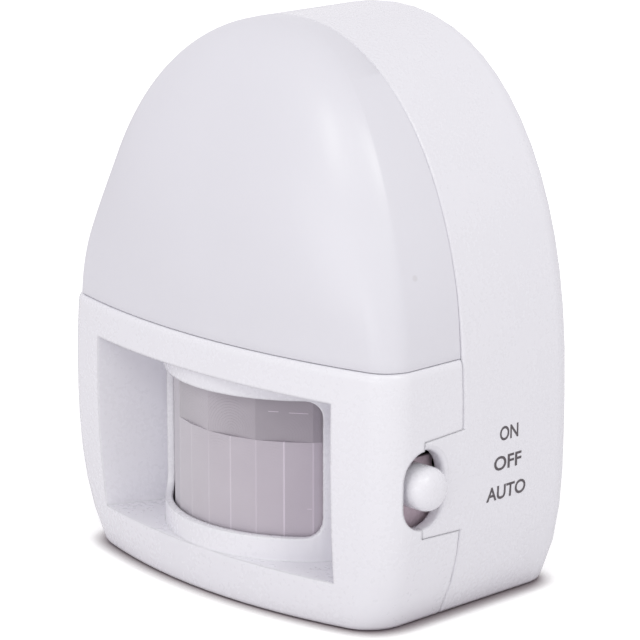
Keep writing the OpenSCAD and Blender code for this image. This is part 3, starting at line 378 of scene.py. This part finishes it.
def foot_outline(inset):
    """Outline of the dome's foot seen from above, from its left end to its right end."""
    width = half_width(SPLIT_Z, inset)
    depth = FRONT_D - FRONT_LEAN * ((SPLIT_Z - UPRIGHT_Z) / UPRIGHT_Z) ** 2 - inset
    corner = max(CORNER_R - inset, SMALLEST_CORNER)

    def face(x, back=0.0):
        return x, -(depth - FRONT_BOW * (x / width) ** 2 - back)

    right = [face((width - corner) * k / FACE_STEPS) for k in range(FACE_STEPS + 1)]
    for k in range(1, CORNER_STEPS + 1):
        turn = math.pi / 2 * k / CORNER_STEPS
        right.append(face(width - corner + corner * math.sin(turn), corner * (1 - math.cos(turn))))
    bevel = SEAM_BEVEL if inset < DOME_WALL else 0.0
    right += [(width, -SEAM_BEVEL), (width - bevel, 0.0)]
    return [(-x, y) for x, y in reversed(right[1:])] + right


# Opal dome

FOOT_STEP, CROWN_STEP = 0.45, 0.12  # how far the dome stands in from the rear case, at its foot and above
STEP_REACH = 12.0  # height over which the one step turns into the other
FOOT_ROUNDING = ((0, 0.2), (0.06, 0.06), (0.2, 0))  # up and in
DOME_WALL = 1.5
DOME_LIFT = 0.1  # gap above the front housing
DOME_GAP = 0.02  # gap in front of the rear case
DOME_SWELL = 2.4  # power of the dome's side view, front to back
DOME_FULLNESS = 3.0  # power of its upper sections seen from above, where 2 is an ellipse
DOME_ROWS = 60
INNER_FOOT_STEP = 0.02  # height between the rows inside that match those of the foot's rounding


def eased(share):
    """A share of 0 to 1 with a soft start and a soft end."""
    return share * share * (3 - 2 * share)


def dome_row(z, inset):
    """Section of the dome at height z, rounder seen from above the higher it lies."""
    rise = (z - SPLIT_Z) / (CROWN_Z - inset - SPLIT_Z)
    width = half_width(SPLIT_Z, inset)
    across = half_width(z, inset) / width
    deep = max(0, 1 - rise * rise) ** (1 / DOME_SWELL)
    share = eased(min(1, 2 * rise))  # of its full roundness, which it has from half its height up
    outline = foot_outline(inset)
    depth = -min(y for x, y in outline)
    row = []
    for x, y in outline:
        c, s = abs(x) / width, -y / depth
        pull = (c ** DOME_FULLNESS + s ** DOME_FULLNESS) ** (-1 / DOME_FULLNESS) if s > 0 else 1
        pull = 1 + (pull - 1) * share
        row.append((x * pull * across, y * pull * deep - DOME_GAP, z + DOME_LIFT))
    return row


def dome_heights(inset):
    """Heights of the rows, closer together towards the crown."""
    rise = CROWN_Z - inset - WIDEST_Z
    foot = math.asin(((SPLIT_Z - WIDEST_Z) / rise) ** (CROWN_RISE / 2))
    for k in range(DOME_ROWS):
        a = foot + (math.pi / 2 - foot) * k / DOME_ROWS
        yield WIDEST_Z + rise * math.sin(a) ** (2 / CROWN_RISE)


def dome_step(z):
    """How far the outside of the dome stands in from the rear case at height z."""
    share = min(1, max(0, (z - SPLIT_Z) / STEP_REACH))
    return FOOT_STEP + (CROWN_STEP - FOOT_STEP) * eased(share)


def opal_shell():
    """The dome as one closed skin, its foot and crown included."""
    inside = FOOT_STEP + DOME_WALL
    outer = [dome_row(z, dome_step(z)) for z in dome_heights(CROWN_STEP)]
    outer[:1] = [dome_row(SPLIT_Z + up, FOOT_STEP + back) for up, back in FOOT_ROUNDING]
    inner = [dome_row(z, inside) for z in dome_heights(inside)]
    inner[:1] = [[(x, y, z + INNER_FOOT_STEP * k) for x, y, z in inner[0]] for k in range(len(FOOT_ROUNDING))]
    count = len(outer[0])
    levels = len(outer)
    points = [p for pair in zip(outer, inner) for row in pair for p in row]
    points += [(0, -DOME_GAP, CROWN_Z - inset + DOME_LIFT) for inset in (CROWN_STEP, inside)]
    crown, ceiling = len(points) - 2, len(points) - 1
    faces = []
    for row in range(levels - 1):
        for k in range(count - 1):
            for side in (0, count):
                a = row * 2 * count + side + k
                faces.append((a, a + 1, a + 1 + 2 * count, a + 2 * count))
        for k in (0, count - 1):
            a = row * 2 * count + k
            faces.append((a, a + count, a + 3 * count, a + 2 * count))
    faces += [(k, k + 1, k + 1 + count, k + count) for k in range(count - 1)]
    top = (levels - 1) * 2 * count
    for k in range(count - 1):
        faces.append((top + k, top + k + 1, crown))
        faces.append((top + count + k, top + count + k + 1, ceiling))
    faces += [(top + k, top + count + k, ceiling, crown) for k in (0, count - 1)]
    return mesh_of("opal_shell", points, faces)


# Lens sheet behind the window, angles in degrees from the front, to the right

DRUM_BACK = 3.7
LENS_R = 24.3
LENS_WALL = 0.8
LENS_FOOT, LENS_ROW, LENS_HEAD = 9.6, 29.5, 40.0
ROW_GAP = 0.01
LOWER_MIDDLE, UPPER_MIDDLE = 22.0, 30.5  # heights of the middles of the grooves
LOWER_EDGES = [-60 + 12 * k for k in range(11)]
UPPER_EDGES = [-60, -48, -36, -24, 0, 24, 48, 60]
# Painted shade per facet, a factor on the lens colour: the lower row darker towards the right, where the
# recess wall keeps light off, the upper row darker still in the shadow of the window's top; a pair runs from
# the facet's left edge to its right edge
LOWER_PAINTED_SHADE = [1.0, 1.0, 1.0, 0.99, 0.965, 0.94, 0.915, 0.90, 0.88, 0.88]
UPPER_PAINTED_SHADE = [1.0, 1.0, 0.99, (0.80, 0.90), (0.84, 0.70), 0.64, 0.62]
RIDGE, RIDGE_HEIGHT = 0.09, 0.03  # half the width of a ridge between two facets, and its height
# painted highlights: how much lighter each ridge between two lower facets is drawn, 0 where there is no ridge
RIDGE_PAINTED_HIGHLIGHTS = [0, 0, 1.05, 1.04, 1.03, 1.10, 1.03, 1.22, 1.10]
MAUVE, MAUVE_DRIFT = 0.97, 0.03 / 15  # share of green in the middle, and what it loses per mm to the right: the painted shade turns mauve as it deepens
PALE_LINES = ((42.0, 3.4, 34.6), (31.5, 1.8, 34.7), (46.5, 0.8, 17.5))  # angle, length, height
MARK_WIDTH, MARK_LIFT, MARK_TONE = 0.11, 0.02, 1.25


def round_drum(radius, degrees):
    a = math.radians(degrees)
    return radius * math.sin(a), DRUM_BACK - radius * math.cos(a)


def lens_sheet():
    """Two rows of flat facets, with a slim ridge along the edges of the lower row, and painted shade and
    highlights in their colour layer.
    """
    mesh = bpy.data.meshes.new("lens_sheet")
    sheet = bmesh.new()
    facet_uv = sheet.loops.layers.uv.new("facet")
    tone_layer = sheet.loops.layers.float_color.new("shade")

    def corner(x, y, z):
        return sheet.verts.new((x * MM, (y + SEAM) * MM, z * MM))

    def quad(verts, tone, spread):
        """A face whose painted shade runs from its left tone to its right tone, more mauve towards the right.
        """
        face = sheet.faces.new(verts)
        left, right = tone if isinstance(tone, tuple) else (tone, tone)
        for loop, place in zip(face.loops, spread):
            shade = left if place[0] < 0 else right
            loop[facet_uv].uv = (place[0] / FACET_MAP, place[1] / FACET_MAP)
            loop[tone_layer] = (shade, shade * (MAUVE - MAUVE_DRIFT * loop.vert.co.x / MM), shade, 1)

    def row(edges, painted_shades, painted_highlights, foot, head, middle):
        # Outer outline of the row, cut into facets and the ridges between them
        outline, pieces = [], []
        for k, (left, right) in enumerate(zip(edges, edges[1:])):
            a, b = Vector(round_drum(LENS_R, left)), Vector(round_drum(LENS_R, right))
            half = (b - a).length / 2
            if k == 0:
                outline.append(a)
            elif painted_highlights[k - 1]:
                crest = Vector(round_drum(LENS_R + RIDGE_HEIGHT, left))
                outline[-1] = outline[-1].lerp(outline[-2], RIDGE / (outline[-1] - outline[-2]).length)
                outline += [crest, a.lerp(b, RIDGE / half)]
                pieces += [(painted_highlights[k - 1], 0, 0)] * 2
            outline.append(b)
            pieces.append((painted_shades[k], -half, half))
        inner = [Vector(round_drum(LENS_R - LENS_WALL, math.degrees(math.atan2(p.x, DRUM_BACK - p.y))))
                 for p in outline]
        rings = [[corner(p.x, p.y, z) for p in line] for line in (outline, inner) for z in (foot, head)]
        low, high, back_low, back_high = rings
        for k, (tone, u0, u1) in enumerate(pieces):
            v0, v1 = foot - middle, head - middle
            flat = [(u0, v0), (u1, v0), (u1, v1), (u0, v1)]
            quad((low[k], low[k + 1], high[k + 1], high[k]), tone, flat)
            quad((back_low[k + 1], back_low[k], back_high[k], back_high[k + 1]), tone, flat)
            quad((high[k], high[k + 1], back_high[k + 1], back_high[k]), tone, flat)
            quad((back_low[k], back_low[k + 1], low[k + 1], low[k]), tone, flat)
        quad((low[0], high[0], back_high[0], back_low[0]), painted_shades[0], [(0, 0)] * 4)
        quad((low[-1], back_low[-1], back_high[-1], high[-1]), painted_shades[-1], [(0, 0)] * 4)

    row(LOWER_EDGES, LOWER_PAINTED_SHADE, RIDGE_PAINTED_HIGHLIGHTS, LENS_FOOT, LENS_ROW, LOWER_MIDDLE)
    plain = [0] * (len(UPPER_EDGES) - 2)
    row(UPPER_EDGES, UPPER_PAINTED_SHADE, plain, LENS_ROW + ROW_GAP, LENS_HEAD, UPPER_MIDDLE)
    # Faint pale lines on the facets, slightly raised
    for at, length, z in PALE_LINES:
        edges = UPPER_EDGES if z > LENS_ROW else LOWER_EDGES
        left, right = next(facet for facet in zip(edges, edges[1:]) if facet[1] > at)
        a, b = Vector(round_drum(LENS_R, left)), Vector(round_drum(LENS_R, right))
        out = Vector(round_drum(1, (left + right) / 2)) - Vector((0, DRUM_BACK))
        middle = a.lerp(b, (at - left) / (right - left)) + out * MARK_LIFT
        along = (b - a).normalized() * length / 2
        verts = [corner(*(middle + along * side), z + up)
                 for side, up in ((-1, 0), (1, 0), (1, MARK_WIDTH), (-1, MARK_WIDTH))]
        quad(verts, MARK_TONE, [(0, 0)] * 4)
    sheet.to_mesh(mesh)
    sheet.free()
    return mesh


# Button of the switch, and the plate that it carries behind the slot

SWITCH_Y, SWITCH_Z = -9.3, 26.1
BUTTON_R = 3.85
BUTTON_DOME = 3.1
BUTTON_FULLNESS = 2.5
BUTTON_SIDES, BUTTON_RINGS = 96, 28
PLATE_X, PLATE_T = 37.18, 1.0
PLATE_FRONT, PLATE_BACK, PLATE_TOP, PLATE_DROP = 5.0, 5.4, 4.2, 8.5
PLATE_BEVEL = 1.7
PLATE_ROUNDING = 0.1
NECK = 0.03  # least width of the plate round the button
BORE_R = 1.5
BORE_ROOF = 1.7  # from the end of the bore to the side of the case


def domed_button():
    """Button and its plate as one skin, hollow where the lever goes in."""
    side_x = half_width(SWITCH_Z)
    plate_corners = [(y, z) for y in (-PLATE_FRONT, PLATE_BACK) for z in (PLATE_TOP, -PLATE_DROP)]
    directions = sorted({math.tau * k / BUTTON_SIDES for k in range(BUTTON_SIDES)}
                        | {math.atan2(z, y) % math.tau for y, z in plate_corners})

    def ring(x, radius):
        return [(x, SWITCH_Y + radius * math.cos(a), SWITCH_Z + radius * math.sin(a)) for a in directions]

    def plate_ring(x, grow, front):
        points = []
        for a in directions:
            c, s = math.cos(a), math.sin(a)
            reach = min(((PLATE_BACK if c > 0 else front) + grow) / max(abs(c), 1e-6),
                        ((PLATE_TOP if s > 0 else PLATE_DROP) + grow) / max(abs(s), 1e-6))
            reach = max(reach, BUTTON_R + NECK)
            points.append((x, SWITCH_Y + reach * c, SWITCH_Z + reach * s))
        return points

    bore_end = side_x - BORE_ROOF
    bevelled = PLATE_FRONT - PLATE_BEVEL
    rings = [ring(bore_end, BORE_R), ring(PLATE_X, BORE_R),
             plate_ring(PLATE_X, -PLATE_ROUNDING, PLATE_FRONT),
             plate_ring(PLATE_X + PLATE_ROUNDING, 0, PLATE_FRONT),
             plate_ring(PLATE_X + PLATE_T - PLATE_ROUNDING, 0, bevelled),
             plate_ring(PLATE_X + PLATE_T, -PLATE_ROUNDING, bevelled),
             ring(PLATE_X + PLATE_T, BUTTON_R)]
    for k in range(BUTTON_RINGS):
        a = math.pi / 2 * k / BUTTON_RINGS
        rings.append(ring(side_x + BUTTON_DOME * math.sin(a) ** (2 / BUTTON_FULLNESS),
                          BUTTON_R * math.cos(a) ** (2 / BUTTON_FULLNESS)))
    points, faces = loft(rings, (bore_end, SWITCH_Y, SWITCH_Z), (side_x + BUTTON_DOME, SWITCH_Y, SWITCH_Z))
    return mesh_of("domed_button", points, faces, 50)


# Lettering on the side of the rear case, each word with its ends along y and along z

SWITCH_WORDS = {
    "ON": (8.8, 13.4, 30.5, 33.05),
    "OFF": (7.5, 14.3, 25.3, 27.85),
    "AUTO": (5.9, 15.6, 20.05, 22.6),
}
STROKE_GAIN = 0.019  # how much the strokes are thickened, as a share of the type size
PRINT_LIFT = 0.015


def side_lettering(word, y0, y1, z0, z1):
    """The word printed on the right side, between those places in mm."""
    text = bpy.data.curves.new(word, "FONT")
    text.body = word
    text.offset = STROKE_GAIN
    text.resolution_u = 6
    draft = bpy.data.objects.new(word, text)
    mesh = bpy.data.meshes.new_from_object(draft)
    bpy.data.objects.remove(draft)
    across = [v.co.x for v in mesh.vertices]
    up = [v.co.y for v in mesh.vertices]
    left, width = min(across), max(across) - min(across)
    foot, height = min(up), max(up) - min(up)
    print_layer = bmesh.new()
    print_layer.from_mesh(mesh)
    for vert in print_layer.verts:
        y = y0 + (y1 - y0) * (vert.co.x - left) / width
        z = z0 + (z1 - z0) * (vert.co.y - foot) / height
        vert.co = ((half_width(z) + PRINT_LIFT) * MM, (y + SEAM) * MM, z * MM)
    bmesh.ops.remove_doubles(print_layer, verts=print_layer.verts, dist=1e-6)
    bmesh.ops.recalc_face_normals(print_layer, faces=print_layer.faces)
    if sum(face.normal.x for face in print_layer.faces) < 0:
        bmesh.ops.reverse_faces(print_layer, faces=print_layer.faces)
    print_layer.to_mesh(mesh)
    print_layer.free()
    return mesh


# Camera, light and floor

AZIMUTH, ELEVATION = 46.369, 14.633
AIM_ASIDE, AIM_Z = 4.542, 45.65  # in mm: how far to its own right of the middle the camera aims, and how high
FOCAL_LENGTH, SENSOR_WIDTH = 181.07, 36  # in mm
CAMERA_AWAY, NEAREST, FURTHEST = 0.569744, 0.05, 50  # in metres
LIT_PLACE = Vector((0, 0, 0.05))  # in metres
LAMP = (0.965, 1.0, 0.91)
SKY, AMBIENT = (0.985, 0.97, 1.0), 0.775  # the sky's colour, and how much of it lights the object
FLOOR_HALF = 6.0  # in metres


def turned(azimuth, elevation):
    """Direction from the object, azimuth from its front to its right."""
    a, e = math.radians(azimuth), math.radians(elevation)
    return Vector((math.sin(a) * math.cos(e), -math.cos(a) * math.cos(e), math.sin(e)))


def facing(azimuth, elevation):
    """Rotation of a camera or lamp that looks back from that direction."""
    return (-turned(azimuth, elevation)).to_track_quat("-Z", "Y").to_euler()


aim = Vector((AIM_ASIDE * math.cos(math.radians(AZIMUTH)),
              AIM_ASIDE * math.sin(math.radians(AZIMUTH)) + SEAM, AIM_Z)) * MM
camera = bpy.data.objects.new("camera", bpy.data.cameras.new("camera"))
camera.data.lens = FOCAL_LENGTH
camera.data.sensor_width = SENSOR_WIDTH
camera.data.clip_start = NEAREST
camera.data.clip_end = FURTHEST
camera.location = aim + turned(AZIMUTH, ELEVATION) * CAMERA_AWAY
camera.rotation_euler = facing(AZIMUTH, ELEVATION)
bpy.context.collection.objects.link(camera)
bpy.context.scene.camera = camera


def softbox(name, azimuth, elevation, distance, size, power, colour=(1, 1, 1)):
    """A panel light of so many watts, with its distance and size in metres."""
    lamp = bpy.data.lights.new(name, "AREA")
    lamp.shape = "RECTANGLE"
    lamp.size, lamp.size_y = size
    lamp.energy = power
    lamp.color = colour
    box = bpy.data.objects.new(name, lamp)
    box.location = LIT_PLACE + turned(azimuth, elevation) * distance
    box.rotation_euler = facing(azimuth, elevation)
    bpy.context.collection.objects.link(box)


softbox("softbox_left", 10, 43.5, distance=1.1, size=(0.17, 0.42), power=1.0, colour=LAMP)
softbox("softbox_right", 81, 44.5, distance=1.1, size=(0.17, 0.42), power=1.3, colour=LAMP)
softbox("softbox_over", 46, 46, distance=1.3, size=(1.5, 0.7), power=2.8, colour=LAMP)
softbox("softbox_low", 8, 8, distance=1.3, size=(1.2, 0.4), power=1.8)

world = bpy.data.worlds.new("surround")
bpy.context.scene.world = world
world.use_nodes = True
surround = Nodes(world.node_tree)
shown = surround.node("ShaderNodeLightPath", output="Is Camera Ray")
for ray in ("Is Glossy Ray", "Is Transmission Ray"):
    shown = shown.math("MAXIMUM", surround.node("ShaderNodeLightPath", output=ray))
sky = surround.node("ShaderNodeBackground", None, {"Color": SKY, "Strength": AMBIENT + shown * (1 - AMBIENT)})
surround.node("ShaderNodeOutputWorld", None, {0: sky})

floor_mesh = bpy.data.meshes.new("floor")
floor_corners = [(x * FLOOR_HALF, y * FLOOR_HALF, 0) for x, y in ((-1, -1), (1, -1), (1, 1), (-1, 1))]
floor_mesh.from_pydata(floor_corners, [], [(0, 1, 2, 3)])
floor = bpy.data.objects.new("floor", floor_mesh)
floor_mesh.materials.append(floor_white().material)
bpy.context.collection.objects.link(floor)
bpy.context.scene.view_settings.view_transform = "Standard"


# Finishes on the carried-over pieces

SOFT_EDGES = {"rear_case": 0.15, "front_housing": 0.3, "battery_door": 0.15}  # width of the bevels in mm
EDGE_ANGLE = 32  # an edge that turns by more than this is bevelled
SAME_PLACE = 2e-6  # in metres


def paint(finish, *names):
    for name in names:
        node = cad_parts[name]
        node.data.materials.clear()
        node.data.materials.append(finish.material)


def soften(name, width):
    """Rounds the moulded edges of a CAD piece and evens its shading."""
    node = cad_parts[name]
    weld = node.modifiers.new("weld", "WELD")
    weld.merge_threshold = SAME_PLACE
    bevel = node.modifiers.new("edges", "BEVEL")
    bevel.width = width * MM
    bevel.segments = 3
    bevel.limit_method = "ANGLE"
    bevel.angle_limit = math.radians(EDGE_ANGLE)
    bevel.use_clamp_overlap = True
    for face in node.data.polygons:
        face.use_smooth = True
    even = node.modifiers.new("shading", "WEIGHTED_NORMAL")
    even.keep_sharp = True


white = case_white("case_white")
button_finish = button_white()
opal = opal_dome()
milk = lens_milk()
black = dark_moulded("black_moulded")
tin = metal("tinned_sheet", (0.72, 0.72, 0.73), 0.28)

paint(white, "rear_case", "front_housing", "switch_knob")
paint(case_white("door_white", 0.3), "battery_door")
paint(case_white("reflector_white", 0), "reflector")
paint(opal, "diffuser")
paint(milk, "fresnel_lens")
paint(dark_moulded("frame_black", (0.05, 0.047, 0.05), 0.5), "lens_frame")
paint(laminate("green_laminate", (0.02, 0.13, 0.05), (0.05, 0.22, 0.08)), "main_board", "switch_board")
paint(laminate("white_laminate", (0.80, 0.80, 0.78), (0.70, 0.71, 0.70)), "led_board")
paint(tin, "pir_sensor", "board_link", "contact_positive", "contact_negative",
      "contact_bridge_top", "contact_bridge_bottom")
paint(dark_moulded("filter_pane", (0.012, 0.008, 0.012), 0.12), "pir_filter")
paint(dark_moulded("sensor_lacquer", (0.42, 0.16, 0.05), 0.35), "light_sensor")
paint(black, "control_chip", "resistors", "transistor", "slide_switch_body", "slide_switch_lever")
paint(dark_moulded("capacitor_sleeve", (0.012, 0.016, 0.030), 0.3), "capacitors")
paint(diode_cup(), "leds")
paint(cell_sleeve(), "cell_left", "cell_middle", "cell_right")
paint(metal("spring_wire", (0.62, 0.62, 0.64), 0.22), "battery_springs")
paint(metal("screw_zinc", (0.60, 0.60, 0.61), 0.30), "case_screws", "main_board_screws", "led_board_screws")
paint(dark_moulded("lead_sleeve", (0.42, 0.02, 0.015), 0.4), "battery_leads")

for piece, width in SOFT_EDGES.items():
    soften(piece, width)

make_piece("opal_dome_shell", opal_shell(), opal, "housing", "opal_plastic", "diffuser")
make_piece("lens_facets", lens_sheet(), milk, "housing", "lens_plastic", "fresnel_lens")
make_piece("button", domed_button(), button_finish, "switch", "white_plastic", "switch_knob")
ink = lettering_ink()
for word, place in SWITCH_WORDS.items():
    make_piece("lettering_" + word.lower(), side_lettering(word, *place), ink, "housing", "black_plastic")
